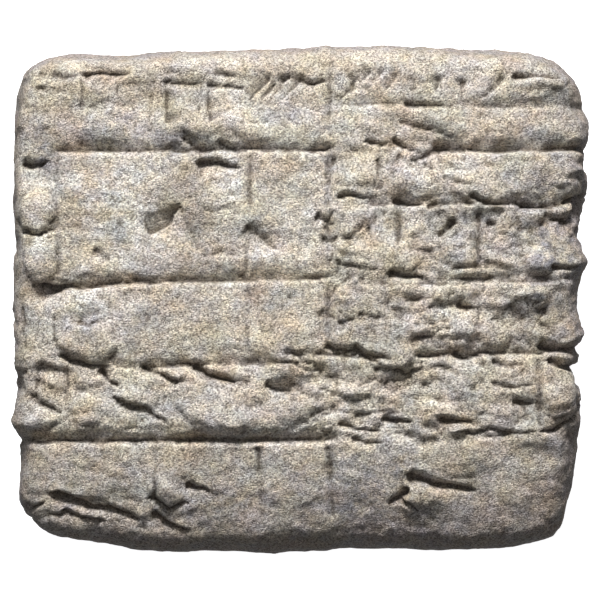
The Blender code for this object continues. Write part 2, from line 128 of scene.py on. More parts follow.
roundBearings = np.radians(np.arange(0, 360, 0.25))
roundEdge = polarPlaces(edgeRadius(roundBearings), roundBearings)
edgeMiddle = (roundEdge.max(axis=0) + roundEdge.min(axis=0)) / 2
edgeHalf = (roundEdge.max(axis=0) - roundEdge.min(axis=0)) / 2


# Shares of the half size to metres, so that the outline just fills the width and height.
def toMetres(shares):
    return (shares - edgeMiddle) / edgeHalf * halfSize


# Metres back to shares of the half size.
def toShares(places):
    return places / halfSize * edgeHalf + edgeMiddle


# Metres of a place on the face.
def facePlace(across, up):
    return np.array([(across / 1000 - 0.5) * lump["width"], (up / 1000 - 0.5) * lump["height"]])


# Share of the edge radius where the face or the reverse starts to roll over.
def rollStart(bearing, reverse):
    radius = np.hypot(np.cos(bearing) * halfSize[0], np.sin(bearing) * halfSize[1]) * edgeRadius(bearing)
    return 1 - np.where(reverse, lump["reverseRoll"], blendRound(bearing, lump["faceRoll"])) / radius


# Height share of a quarter superellipse: 1 up to the start, 0 at the edge.
def rolledHeight(out, start, power):
    way = np.clip((out - start) / (1 - start), 0, 1)
    return (1 - way**power) ** (1 / power)


# Sum of bell curves at places on the face, with their heights in a unit.
def bellSum(places, bells, unit):
    total = np.zeros(len(places))
    for across, up, halfAcross, halfUp, height in bells:
        away = (places - facePlace(across, up)) / (halfAcross * mm, halfUp * mm)
        total = total + height * unit * np.exp(-(away**2).sum(axis=1))
    return total


# Height of the smooth face above the widest level: the thickness less the sink towards each side, plus
# the swells, times the roll.
def rawFaceHeight(places):
    shares = toShares(places)
    bearing = np.arctan2(shares[:, 1], shares[:, 0])
    out = np.hypot(shares[:, 0], shares[:, 1]) / edgeRadius(bearing)
    rolled = rolledHeight(out, rollStart(bearing, False), lump["faceRollPower"])
    toSides = {0: shares[:, 0], 180: -shares[:, 0], 90: shares[:, 1], 270: -shares[:, 1]}
    power = lump["sinkPower"]
    sink = sum(lump["sink"][side] * np.maximum(0, way) ** power for side, way in toSides.items())
    swells = bellSum(places, lump["faceSwells"], mm)
    return (lump["thickness"] - lump["widestLevel"] - sink + swells) * rolled


# The face is scaled so that its highest place leaves room for the relief. The place is looked for on a net
# that stops short of the rim.
steps = np.linspace(-0.98, 0.98, 120)
tryAcross, tryUp = np.meshgrid(steps, steps)
highest = rawFaceHeight(np.stack([tryAcross.ravel(), tryUp.ravel()], axis=1) * halfSize).max()
faceFit = (lump["thickness"] - lump["reliefRoom"] - lump["widestLevel"]) / highest


# Points of the smooth lump. Each is given as a cube point: its place in the square and its level,
# 1 on the face, 0 at the widest ring and -1 on the reverse.
def lumpPoints(square, level):
    bearing = np.arctan2(square[:, 1], square[:, 0])
    spread = np.abs(square).max(axis=1)
    upper = level >= 0
    power = np.where(upper, lump["faceRollPower"], lump["reverseRollPower"])
    border = np.where(upper, net["faceBorderTurn"], net["reverseBorderTurn"])
    start = np.where(upper, rollStart(bearing, False), rollStart(bearing, True))
    turn = border + (math.pi / 2 - border) * (1 - np.abs(level))
    out = spread * (start + (1 - start) * np.sin(turn) ** (2 / power))
    places = toMetres(polarPlaces(out * edgeRadius(bearing), bearing))
    faceZ = lump["widestLevel"] + rawFaceHeight(places) * faceFit
    reverseZ = lump["widestLevel"] * (1 - rolledHeight(out, start, power))
    return np.column_stack([places, np.where(upper, faceZ, reverseZ)])


# A square net of points from -1 to 1, row by row.
def squareNet(across, up):
    a, b = np.meshgrid(np.linspace(-1, 1, across + 1), np.linspace(-1, 1, up + 1))
    return np.stack([a.ravel(), b.ravel()], axis=1)


# Numbers of a net's border points, anticlockwise from its lower left corner.
def netBorder(across, up):
    row = across + 1
    bottom = np.arange(across)
    right = across + row * np.arange(up)
    top = row * up + across - np.arange(across)
    left = row * (up - np.arange(up))
    return np.concatenate([bottom, right, top, left])


# Squares of a net whose first point has the number given, seen anticlockwise from outside.
def netSquares(across, up, first, flipped):
    i, j = np.meshgrid(np.arange(across), np.arange(up))
    corner = first + (j * (across + 1) + i).ravel()
    quads = np.stack([corner, corner + 1, corner + across + 2, corner + across + 1], axis=1)
    return quads[:, ::-1] if flipped else quads


# Squares between two rings of point numbers, the first ring above the second.
def ringSquares(above, below):
    return np.stack([above, below, np.roll(below, -1), np.roll(above, -1)], axis=1)


# The closed net of the lump: face net, fine rings down to the widest level, one row of triangles to rings
# with half the points, and the coarser net of the reverse.
def lumpNet():
    across, up = net["across"], net["up"]
    faceSquare = squareNet(across, up)
    fineBorder = netBorder(across, up)
    squares, levels = [faceSquare], [np.ones(len(faceSquare))]
    quads = [netSquares(across, up, 0, False)]
    above, count = fineBorder, len(faceSquare)
    for ring in range(1, net["upperSide"] + 1):
        below = count + np.arange(len(fineBorder))
        squares.append(faceSquare[fineBorder])
        levels.append(np.full(len(fineBorder), 1 - ring / net["upperSide"]))
        quads.append(ringSquares(above, below))
        above, count = below, count + len(below)
    coarse = faceSquare[fineBorder[::2]]
    triangles = []
    for ring in range(1, net["lowerSide"]):
        below = count + np.arange(len(coarse))
        squares.append(coarse)
        levels.append(np.full(len(coarse), -ring / net["lowerSide"]))
        if ring == 1:
            first, middle, last = above[::2], above[1::2], np.roll(above[::2], -1)
            belowNext = np.roll(below, -1)
            triangles.append(np.stack([first, below, middle], axis=1))
            triangles.append(np.stack([middle, below, belowNext], axis=1))
            triangles.append(np.stack([middle, belowNext, last], axis=1))
        else:
            quads.append(ringSquares(above, below))
        above, count = below, count + len(below)
    reverseSquare = squareNet(across // 2, up // 2)
    squares.append(reverseSquare)
    levels.append(np.full(len(reverseSquare), -1.0))
    quads.append(netSquares(across // 2, up // 2, count, True))
    quads.append(ringSquares(above, count + netBorder(across // 2, up // 2)))
    return np.concatenate(squares), np.concatenate(levels), np.concatenate(quads), np.concatenate(triangles)


# Unit normals of the points: the sum of the normals of the faces round each.
def pointNormals(points, quads, triangles):
    total = np.zeros_like(points)
    for faces in (quads, triangles):
        first, second, third, last = (points[faces[:, corner]] for corner in (0, 1, 2, -1))
        normal = np.cross(third - first, last - second)
        for column in range(faces.shape[1]):
            np.add.at(total, faces[:, column], normal)
    return total / np.linalg.norm(total, axis=1)[:, None]


# Smooth noise from -1 to 1: random values at the corners of cells, eased from corner to corner.
def cellNoise(points, cell, seed):
    size, seedShift = 32, 7.3
    values = np.random.default_rng(seed).random((size, size, size))
    place = points / np.asarray(cell) + seed * seedShift
    corner = np.floor(place).astype(int)
    way = place - corner
    way = way * way * (3 - 2 * way)
    total = np.zeros(len(points))
    for step in np.ndindex(2, 2, 2):
        share = np.where(step, way, 1 - way).prod(axis=1)
        total += share * values[tuple((corner + step).T % size)]
    return total * 2 - 1


# Several noises, each with cells half as large and a smaller share.
def layeredNoise(points, cell, seed, layers=3, keep=0.5):
    total, share, whole = np.zeros(len(points)), 1.0, 0.0
    for layer in range(layers):
        total += share * cellNoise(points, np.asarray(cell) / 2**layer, seed + layer)
        whole += share
        share *= keep
    return total / whole


# The facets of chipped clay: the part of their height and of their slope up the face, the width of the
# notches between them in cells, and the level of the notches below the mean.
facets = {"height": 0.6, "upSlope": 1.3, "notchWidth": 0.3, "notchLevel": 0.5}


# Chipped clay from -1 to 1: the face is split into uneven cells round scattered points, and each cell is a
# small facet with a height and a tilt of its own. Between two cells the surface drops into a notch.
def chippedNoise(places, cell, seed):
    size, far = 64, 9.0
    chance = np.random.default_rng(seed)
    jitter = chance.random((size, size, 2))
    form = chance.uniform(-1, 1, (size, size, 3))
    place = places / np.asarray(cell)
    corner = np.floor(place).astype(int)
    nearest, second = np.full(len(places), far), np.full(len(places), far)
    facet = np.zeros(len(places))
    for step in np.ndindex(3, 3):
        at = corner + step - 1
        row, column = at.T % size
        away = place - at - jitter[row, column]
        distance = np.hypot(*away.T)
        closer = distance < nearest
        second = np.where(closer, nearest, np.minimum(second, distance))
        nearest = np.where(closer, distance, nearest)
        height, acrossTilt, upTilt = form[row, column].T
        tilted = facets["height"] * height + away[:, 0] * acrossTilt
        tilted = tilted + facets["upSlope"] * away[:, 1] * upTilt
        facet = np.where(closer, tilted, facet)
    edge = np.clip((second - nearest) / facets["notchWidth"], 0, 1)
    return edge * (facet + facets["notchLevel"]) - facets["notchLevel"]


# From 0 to 1 between two values, slow at both ends.
def easeStep(low, high, value):
    way = np.clip((value - low) / (high - low), 0, 1)
    return way * way * (3 - 2 * way)


# The writing: ruled lines, upright divisions, and groups of strokes.
writing = {
    "ruleDepth": 0.90 * mm,
    "ruleUpperWidth": 1.15 * mm,
    "ruleLowerWidth": 0.38 * mm,
    "ruleEnds": (-0.02, 0.05),
    "ruleDepthSway": (0.85, 0.5),
    "swellPlace": 1.5,
    "swellSpread": 0.7,
    "swellShare": 0.3,
    "rules": (  # from, to, up at the start, up at the end, share of the full depth
        (550, 990, 878, 874, 0.35), (80, 560, 786, 789, 0.75), (720, 1000, 788, 793, 1),
        (550, 1010, 687, 684, 0.5), (80, 570, 532, 543, 0.6), (590, 980, 527, 541, 0.5),
        (180, 530, 371, 381, 0.75), (470, 660, 398, 388, 0.75), (690, 1010, 393, 402, 0.75),
        (-10, 560, 224.5, 231, 0.8), (550, 810, 252, 264, 0.15), (760, 890, 236, 240, 0.25),
    ),
    "divisionDepth": 0.34 * mm,
    "divisionHalfWidth": 0.36 * mm,
    "divisionEnds": (-0.03, 0.06),
    "divisionDepthSway": (0.8, 0.6),
    "divisions": (  # across at the top, across at the foot, up to, up from, share of the full depth
        (88, 92, 800, 540, 1.1), (252, 245, 950, 810, 0.6), (248, 240, 550, 380, 0.7),
        (415, 408, 790, 390, 0.9), (106, 106, 370, 230, 0.8), (412, 405, 370, 230, 0.8),
        (490, 488, 370, 240, 0.4), (253, 254, 220, 50, 1.1), (428, 436, 220, 50, 1.2),
        (552, 545, 950, 410, 0.9), (548, 556, 220, 80, 1.2), (636, 632, 800, 710, 0.7),
        (705, 700, 780, 700, 0.7), (666, 668, 700, 410, 1), (802, 800, 690, 410, 1),
        (869, 869, 690, 600, 0.9), (892, 892, 690, 600, 0.7), (904, 906, 390, 230, 1.2),
    ),
    "strokeWidth": 1.50 * mm,
    "strokeDepth": 0.75 * mm,
    "strokeDepthSway": (0.8, 0.5),
    "strokeBend": 0.8,
    "tailWidth": 0.25,
    "ridge": 0.45,
    "slackWall": 1.4,
    "headRun": (-0.08, 0.16),
    "wornLoss": 0.35,
    "seed": 14,
    "headInset": 0.06,
    "frameTop": 0.1,
    "riseShift": 0.3,
    "slantTop": 0.15,
    "slantDrop": 0.3,
    "slantLength": 1.2,
    "layouts": {  # bearing and its stray in degrees, length as a share of the box and its stray
        "stack": (-8, 5, 0.84, 0.12),
        "comb": (-93, 8, 0.78, 0.12),
        "rise": (-125, 7, 0.95, 0.1),
        "slant": (-32, 8, 0.9, 0.1),
    },
    "groups": (  # left, right, bottom, top, layout, how many, share of the full depth
        (50, 120, 885, 950, "stack", 2, 0.5), (125, 205, 885, 955, "frame", 2, 0.55),
        (205, 255, 885, 930, "slant", 1, 0.3), (265, 345, 835, 945, "frame", 2, 0.5),
        (345, 420, 845, 940, "frame", 1, 0.45), (425, 505, 870, 940, "rise", 3, 1),
        (560, 600, 875, 940, "rise", 1, 0.9), (600, 665, 885, 950, "rise", 3, 0.9),
        (670, 790, 870, 935, "comb", 3, 0.8), (670, 770, 870, 895, "stack", 1, 0.1),
        (795, 870, 880, 955, "rise", 1, 0.8), (860, 965, 900, 955, "stack", 2, 0.4),
        (55, 115, 810, 835, "stack", 1, 0.3), (295, 345, 800, 830, "slant", 1, 0.5),
        (355, 415, 800, 830, "slant", 2, 0.4), (595, 700, 800, 835, "slant", 3, 0.2),
        (665, 750, 830, 855, "stack", 1, 0.15), (560, 650, 710, 790, "frame", 2, 0.4),
        (660, 730, 710, 790, "slant", 3, 0.9), (730, 800, 710, 780, "stack", 2, 0.8),
        (110, 230, 575, 660, "slant", 2, 0.15), (280, 400, 565, 640, "slant", 2, 0.1),
        (560, 650, 610, 685, "frame", 3, 0.9), (560, 650, 550, 600, "stack", 2, 0.7),
        (665, 790, 610, 690, "slant", 4, 0.3), (665, 790, 555, 605, "stack", 2, 0.8),
        (805, 900, 615, 690, "stack", 2, 0.8), (805, 900, 555, 605, "stack", 2, 0.8),
        (910, 970, 600, 680, "slant", 2, 0.9), (560, 650, 475, 535, "stack", 2, 0.8),
        (560, 650, 410, 465, "slant", 2, 0.8), (665, 790, 470, 535, "slant", 3, 0.7),
        (665, 790, 415, 465, "stack", 2, 0.6), (805, 900, 470, 530, "stack", 2, 0.4),
        (805, 900, 415, 465, "rise", 2, 0.8), (45, 110, 325, 375, "stack", 2, 0.9),
        (45, 110, 260, 320, "slant", 1, 0.2), (155, 245, 320, 370, "slant", 2, 0.2),
        (165, 245, 255, 310, "stack", 2, 0.2), (250, 320, 320, 370, "stack", 1, 0.2),
        (250, 320, 255, 310, "slant", 2, 0.4), (325, 420, 330, 380, "slant", 1, 0.2),
        (335, 420, 260, 320, "stack", 2, 0.3), (440, 540, 310, 380, "stack", 2, 0.3),
        (440, 540, 250, 305, "slant", 2, 0.2), (550, 645, 320, 385, "frame", 3, 0.3),
        (550, 645, 270, 315, "stack", 2, 0.5), (655, 730, 270, 385, "slant", 3, 0.4),
        (730, 800, 270, 385, "stack", 3, 0.5), (805, 900, 325, 390, "slant", 3, 0.5),
        (805, 900, 255, 320, "stack", 2, 0.5), (60, 170, 60, 135, "stack", 2, 0.6),
        (170, 240, 65, 135, "stack", 2, 0.3), (245, 320, 30, 90, "slant", 1, 0.5),
        (305, 375, 110, 145, "stack", 1, 0.3),
    ),
}

# Domes with an edge of their own, and the cushions between the rulings and divisions of the right half.
domes = {
    "single": (  # across, up, half length across, half length up, height
        (53, 676, 1.55, 2, 0.5), (60, 572, 1.45, 2, 0.45), (142, 420, 2.25, 1.7, 0.62),
        (135, 492, 1.3, 0.8, 0.25), (950, 320, 1.75, 2.6, 0.55), (275, 128, 1.4, 1.1, 0.35),
        (275, 62, 1.5, 0.9, 0.3), (682, 120, 0.8, 1.2, 0.35), (120, 128, 2, 0.7, 0.2),
        (920, 925, 2.4, 0.75, 0.3), (85, 342, 1.1, 0.85, 0.28), (146, 352, 1.2, 0.9, 0.28),
        (214, 310, 1.5, 1, 0.34), (272, 356, 1.5, 0.95, 0.34), (350, 300, 2.3, 1.2, 0.26),
        (400, 362, 0.9, 0.7, 0.2), (511, 290, 1.5, 1, 0.18), (470, 354, 1.2, 0.7, 0.16),
        (146, 285, 1.2, 1.1, 0.24), (66, 268, 1.3, 0.9, 0.26), (605, 745, 1.6, 1.2, 0.46),
        (680, 730, 1.3, 1.3, 0.4), (600, 650, 1.5, 1.3, 0.44), (585, 585, 1.3, 1, 0.28),
        (300, 600, 2.6, 1.8, 0.16),
    ),
    "cushionLeft": (560, 655, 732, 805, 872, 930),
    "cushionRight": (648, 728, 798, 866, 925, 975),
    "cushionFoot": (240, 320, 410, 478, 555, 622, 705),
    "cushionHead": (310, 388, 470, 538, 612, 692, 790),
    "cushionHeight": (0.06 * mm, 0.34 * mm),
    "cushionSize": (0.8, 1.3),
    "shift": 0.35 * mm,
    "upperPower": 1.1,
    "lowerPower": 0.55,
    "warpShare": 1.1,
    "seed": 8,
}


# A dome falls off softly above and steeply below.
def domeRise(places, centre, halfLengths, height):
    away = (places - centre) / halfLengths
    edge = np.where(away[:, 1] > 0, domes["upperPower"], domes["lowerPower"])
    return height * np.clip(1 - (away**2).sum(axis=1), 0, 1) ** edge


# All domes; each cushion fills its box between two rulings and two divisions with a chance shift and height.
def domeRelief(swayed):
    rise = np.zeros(len(swayed))
    for across, up, halfAcross, halfUp, height in domes["single"]:
        half = (halfAcross * mm, halfUp * mm)
        rise = np.maximum(rise, domeRise(swayed, facePlace(across, up), half, height * mm))
    chance = np.random.default_rng(domes["seed"])
    for foot, head in zip(domes["cushionFoot"], domes["cushionHead"]):
        for left, right in zip(domes["cushionLeft"], domes["cushionRight"]):
            low, high = facePlace(left, foot), facePlace(right, head)
            centre = (low + high) / 2 + chance.uniform(-1, 1, 2) * domes["shift"]
            half = (high - low) / 2 * chance.uniform(*domes["cushionSize"], 2)
            height = np.interp(chance.random(), (0, 1), domes["cushionHeight"])
            rise = np.maximum(rise, domeRise(swayed, centre, half, height))
    return rise


# Breaks and folds of the worn clay. Each runs along a few points of the face, given as across and up, mostly
# from left to right. A narrow upper side makes a cut with a steep upper wall, and a narrow lower side makes
# the underside of a bulge.
breaks = {
    "startShare": 0.12,
    "endWidth": 0.35,
    "leastOpening": 0.02,
    "openingPower": 0.7,
    "wallPower": 1.2,
    "bulgePower": 1.5,
    "bulgeWiden": 1.1,
    "bulgeNarrow": 0.8,
    "reach": 1.2 * mm,
    "lesser": 0.3,
    "paths": (  # depth, width of the upper side and of the lower side, then across and up of each point
        # The first line: recessed boxes with a steep upper and left wall.
        (0.6, 0.35, 1.3, 266, 923, 290, 919, 334, 917), (0.65, 0.3, 1.5, 276, 835, 274, 890, 273, 928),
        (0.5, 0.35, 1.4, 340, 917, 365, 912, 408, 908), (0.5, 0.3, 1.3, 348, 840, 346, 880, 346, 918),
        (0.4, 0.25, 0.6, 128, 862, 131, 900, 129, 945), (0.95, 0.35, 0.8, 128, 936, 170, 940, 212, 937),
        (0.2, 0.3, 0.8, 140, 872, 175, 884, 220, 872), (0.4, 0.3, 0.6, 78, 940, 105, 930, 128, 932),
        (0.4, 0.5, 0.6, 52, 912, 70, 900, 88, 894), (0.65, 0.6, 0.6, 458, 918, 445, 900, 432, 886),
        (0.6, 0.5, 0.5, 486, 935, 472, 915, 462, 895), (0.7, 0.35, 0.7, 500, 925, 520, 916, 548, 922),
        (0.55, 0.6, 0.7, 592, 918, 576, 896, 562, 884), (0.6, 0.6, 0.7, 848, 934, 832, 910, 806, 890),
        (0.85, 0.4, 0.8, 855, 932, 895, 935, 945, 930), (0.75, 0.5, 0.5, 672, 880, 715, 875, 768, 873),
        # The second line and the big oval pit.
        (0.95, 0.35, 1.5, 322, 766, 362, 768, 402, 756), (0.6, 0.5, 0.5, 300, 814, 320, 797, 336, 786),
        (0.6, 0.5, 0.5, 360, 806, 382, 794, 402, 780), (0.25, 0.9, 0.4, 120, 804, 180, 795, 240, 801),
        (0.6, 0.4, 0.45, 606, 806, 632, 800, 662, 792), (0.75, 0.45, 0.45, 652, 808, 672, 796, 704, 786),
        (0.35, 0.3, 0.7, 663, 848, 700, 834, 740, 824, 776, 806),
        (0.7, 0.45, 0.5, 755, 792, 722, 782, 706, 768, 686, 768),
        (0.3, 0.25, 0.4, 505, 938, 508, 920, 526, 915, 545, 927),
        # The ledge over the fourth line.
        (0.7, 0.5, 0.4, 560, 694, 592, 697, 634, 692), (1.1, 0.6, 0.5, 656, 692, 680, 683, 708, 685),
        (0.75, 0.5, 0.4, 712, 680, 735, 682, 757, 686), (1.2, 0.55, 0.35, 782, 702, 813, 687, 856, 684),
        (1.4, 0.65, 0.35, 868, 682, 905, 677, 942, 682), (1.2, 0.6, 0.45, 945, 688, 972, 694, 1000, 704),
        (0.9, 0.55, 0.6, 982, 698, 972, 668, 958, 648, 920, 660),
        # The upper left panels.
        (0.9, 0.8, 0.4, 24, 760, 46, 754, 74, 764), (0.8, 0.6, 0.4, 30, 636, 58, 625, 94, 640),
        (1.1, 0.6, 0.5, 50, 526, 80, 515, 115, 522, 165, 528, 230, 534),
        (1, 1.5, 0.5, 240, 628, 268, 645, 297, 682), (0.3, 0.45, 2.2, 293, 690, 318, 630, 345, 568),
        (0.35, 0.5, 1.2, 150, 600, 180, 578), (0.55, 0.9, 1.6, 408, 646, 432, 622, 462, 598),
        (0.4, 0.8, 0.6, 330, 582, 365, 590, 405, 580), (0.5, 0.4, 0.5, 398, 548, 410, 532),
        (0.3, 0.3, 0.3, 28, 490, 32, 440, 38, 400), (0.25, 0.35, 0.35, 84, 470, 85, 430, 95, 400),
        (0.45, 0.4, 0.6, 122, 458, 145, 452, 160, 462),
        # The worn lines on the right.
        (0.45, 0.5, 0.5, 558, 780, 545, 740, 556, 700),
        (0.45, 0.5, 0.5, 555, 680, 542, 640, 558, 600, 546, 552),
        (0.35, 0.5, 0.5, 556, 520, 543, 470, 553, 425), (0.45, 0.4, 0.4, 628, 775, 632, 740, 626, 715),
        (0.45, 0.4, 0.4, 664, 672, 668, 630, 662, 600), (0.45, 0.4, 0.4, 800, 672, 804, 630, 799, 580),
        (1, 0.55, 0.6, 762, 655, 749, 638, 733, 623), (0.45, 0.4, 0.8, 812, 650, 840, 643, 866, 645),
        (0.8, 0.5, 0.7, 524, 662, 542, 652, 556, 640), (0.6, 0.5, 0.6, 535, 618, 552, 612, 565, 622),
        (1.2, 0.6, 0.8, 648, 556, 675, 546, 712, 542), (0.9, 0.45, 0.6, 922, 563, 962, 562),
        (0.5, 0.9, 0.6, 592, 545, 565, 528, 545, 490), (0.45, 0.8, 0.4, 722, 536, 790, 540, 847, 549),
        (0.25, 0.6, 0.8, 855, 524, 897, 505), (0.7, 0.5, 0.6, 762, 492, 782, 486, 806, 488),
        (0.3, 0.25, 0.8, 790, 449, 826, 463, 860, 459), (0.45, 0.6, 0.8, 533, 480, 562, 463),
        (0.4, 0.8, 0.6, 596, 476, 650, 463), (0.4, 0.6, 0.8, 680, 500, 720, 505, 745, 492),
        # The ledge under the middle.
        (0.6, 0.5, 0.5, 484, 402, 510, 378, 535, 372), (0.9, 0.5, 0.5, 540, 412, 572, 402, 602, 402),
        (1.1, 0.8, 0.5, 585, 408, 610, 394, 638, 378),
        (0.5, 0.5, 0.4, 655, 366, 683, 355, 704, 370, 710, 392),
        (0.9, 0.6, 0.45, 700, 396, 720, 392, 748, 394), (1.2, 0.7, 0.45, 755, 400, 778, 386, 822, 402),
        (0.7, 0.6, 0.5, 822, 384, 850, 372, 880, 378), (1.5, 1, 0.5, 900, 408, 940, 401, 990, 407),
        (1.5, 1, 0.6, 918, 384, 950, 368, 986, 368),
        (0.9, 0.5, 0.4, 902, 244, 934, 249, 962, 268, 984, 302),
        (0.9, 0.6, 0.45, 92, 398, 112, 380, 140, 372, 175, 374),
        (0.9, 0.6, 0.5, 160, 368, 175, 348, 192, 334),
        # The line under it.
        (1.2, 0.7, 0.7, 226, 374, 252, 358, 298, 342), (1.5, 0.9, 0.8, 316, 376, 345, 355, 394, 340),
        (0.5, 0.5, 0.5, 488, 378, 510, 366, 538, 368), (0.5, 0.5, 0.5, 440, 340, 460, 328, 485, 326),
        (0.75, 0.35, 0.7, 182, 314, 206, 300, 242, 294, 256, 279, 284, 264),
        (0.65, 0.45, 0.8, 40, 322, 66, 298, 102, 280), (0.5, 0.45, 0.7, 56, 378, 80, 370, 106, 360),
        (0.4, 0.4, 0.5, 372, 296, 398, 290), (0.5, 0.6, 0.45, 532, 333, 555, 318, 585, 315),
        (0.5, 0.5, 0.6, 822, 344, 857, 332, 902, 339), (0.6, 0.5, 0.6, 857, 304, 907, 302),
        (0.6, 0.5, 0.45, 484, 230, 527, 228, 549, 243, 560, 262),
        (0.6, 0.45, 0.5, 560, 262, 590, 252, 640, 247), (1.1, 0.5, 0.45, 636, 270, 660, 267, 692, 268),
        (1, 0.5, 0.45, 732, 270, 760, 266, 792, 266), (0.4, 0.35, 0.5, 586, 235, 610, 224, 640, 228),
        (0.5, 0.4, 0.4, 765, 248, 795, 240, 821, 252, 851, 242, 907, 246),
        (0.4, 1.7, 0.3, 30, 231, 200, 227, 400, 230, 550, 234),
        # The last line.
        (1.1, 0.6, 0.8, 72, 128, 92, 118, 150, 96, 200, 86), (0.7, 0.4, 0.7, 90, 92, 125, 78, 168, 70),
        (0.95, 0.45, 0.8, 165, 98, 200, 86, 226, 76), (0.95, 0.6, 0.4, 240, 117, 276, 93, 312, 108),
        (1, 0.45, 0.8, 246, 86, 275, 66, 312, 50), (0.8, 0.5, 0.5, 306, 142, 322, 134, 350, 131),
        (0.6, 0.4, 0.4, 28, 105, 45, 96, 65, 108), (1.2, 0.65, 0.7, 684, 138, 670, 120, 650, 106),
        (0.9, 0.6, 0.45, 662, 116, 684, 106, 700, 92),
        (1.2, 0.8, 1, 678, 166, 700, 158, 735, 142, 800, 127),
    ),
}


# Depth of a groove at signed distances from its line: it falls to the depth over the upper width and rises
# again over the lower width.
def grooveDip(side, upperWidth, lowerWidth):
    upper = np.clip(1 - side / upperWidth, 0, 1) ** 2
    lower = np.clip(1 + side / lowerWidth, 0, 1)
    return np.where(side > 0, upper, lower)


# Full depth along a line, from 0 to 1 of its way: it fades at both ends and strays between them.
def lineDepth(way, ends, depthSway, sway):
    fade = easeStep(*ends, way) * easeStep(*ends, 1 - way)
    return fade * (depthSway[0] + depthSway[1] * sway["fade"])


# Ruled lines: each follows a slightly wavy line across, deep at the line and swollen a little above it.
def ruleRelief(places, sway):
    dip, swell = np.zeros(len(places)), np.zeros(len(places))
    width = writing["ruleUpperWidth"]
    for left, right, upLeft, upRight, depth in writing["rules"]:
        start, end = facePlace(left, upLeft), facePlace(right, upRight)
        way = (places[:, 0] - start[0]) / (end[0] - start[0])
        side = places[:, 1] - (start[1] + way * (end[1] - start[1])) - sway["line"]
        full = lineDepth(way, writing["ruleEnds"], writing["ruleDepthSway"], sway)
        full = writing["ruleDepth"] * depth * full
        dip = np.maximum(dip, full * grooveDip(side, width, writing["ruleLowerWidth"]))
        above = (side - writing["swellPlace"] * width) / (writing["swellSpread"] * width)
        swell = np.maximum(swell, writing["swellShare"] * full * np.exp(-(above**2)))
    return dip, swell


# Upright divisions: shallow round grooves.
def divisionRelief(places, sway):
    dip = np.zeros(len(places))
    for acrossTop, acrossFoot, top, foot, depth in writing["divisions"]:
        start, end = facePlace(acrossFoot, foot), facePlace(acrossTop, top)
        way = (places[:, 1] - start[1]) / (end[1] - start[1])
        side = places[:, 0] - (start[0] + way * (end[0] - start[0])) - sway["line"]
        full = lineDepth(way, writing["divisionEnds"], writing["divisionDepthSway"], sway)
        bell = np.exp(-((side / writing["divisionHalfWidth"]) ** 2))
        dip = np.maximum(dip, writing["divisionDepth"] * depth * full * bell)
    return dip


# A pressed stroke: widest and deepest just behind its head and tapering to its tail, with a steep wall on
# its upper side and a slack one below.
def wedgeDip(places, head, bearing, length, depth, bend):
    along = np.array([math.cos(bearing), math.sin(bearing)])
    side = np.array([-along[1], along[0]])
    away = places - head
    way = away @ along / length
    tail, ridge, slack = writing["tailWidth"], writing["ridge"], writing["slackWall"]
    halfWidth = writing["strokeWidth"] / 2 * (tail + (1 - tail) * np.clip(1 - way, 0, 1))
    across = (away @ side + bend) / halfWidth
    wall = np.where(across > ridge, (1 - across) / (1 - ridge), (slack + across) / (slack + ridge))
    run = easeStep(*writing["headRun"], way) * np.clip(1 - way, 0, 1) ** 0.5
    return depth * run * np.clip(wall, 0, 1)


# Head, bearing, length and depth of each stroke that fills a group's box in its layout. A frame is one
# stacked stroke along the top with a comb under it. Places in the box are shares of its size.
def strokesOf(group, chance):
    left, right, bottom, top, layout, count, depth = group
    low, high = facePlace(left, bottom), facePlace(right, top)
    size = high - low
    inset, frameTop = writing["headInset"], writing["frameTop"]
    for number in range(count):
        way = (number + 0.5) / count
        sway = chance.uniform(-1, 1)
        kind = layout if layout != "frame" else "comb" if number else "stack"
        if kind == "stack":
            across, down, box = inset * (1 + sway), way if layout == "stack" else frameTop, size[0]
        elif kind == "comb":
            across, down, box = way, frameTop * (1 + sway), size[1]
        elif kind == "rise":
            across, down, box = way + writing["riseShift"] / count, inset * (1 + sway), size[1]
        else:
            across, down = number / count, writing["slantTop"] + writing["slantDrop"] * way
            box = writing["slantLength"] * size[0] / count
        bearing, turn, length, stray = writing["layouts"][kind]
        head = np.array([low[0] + across * size[0], high[1] - down * size[1]])
        yield head, math.radians(bearing + turn * sway), box * (length + stray * sway), depth


# Every stroke, each worked out only on the points near it, and shallower where the face is worn.
def strokeRelief(places, sway):
    dip = np.zeros(len(places))
    chance = random.Random(writing["seed"])
    base, change = writing["strokeDepthSway"]
    for group in writing["groups"]:
        for head, bearing, length, share in strokesOf(group, chance):
            near = np.nonzero(np.hypot(*(places - head).T) < length + writing["strokeWidth"])[0]
            depth = writing["strokeDepth"] * share * (1 - writing["wornLoss"] * wornShare(head[None])[0])
            bend = writing["strokeBend"] * sway["line"][near]
            found = wedgeDip(places[near], head, bearing, length, depth, bend)
            dip[near] = np.maximum(dip[near], found * (base + change * sway["fade"][near]))
    return dip


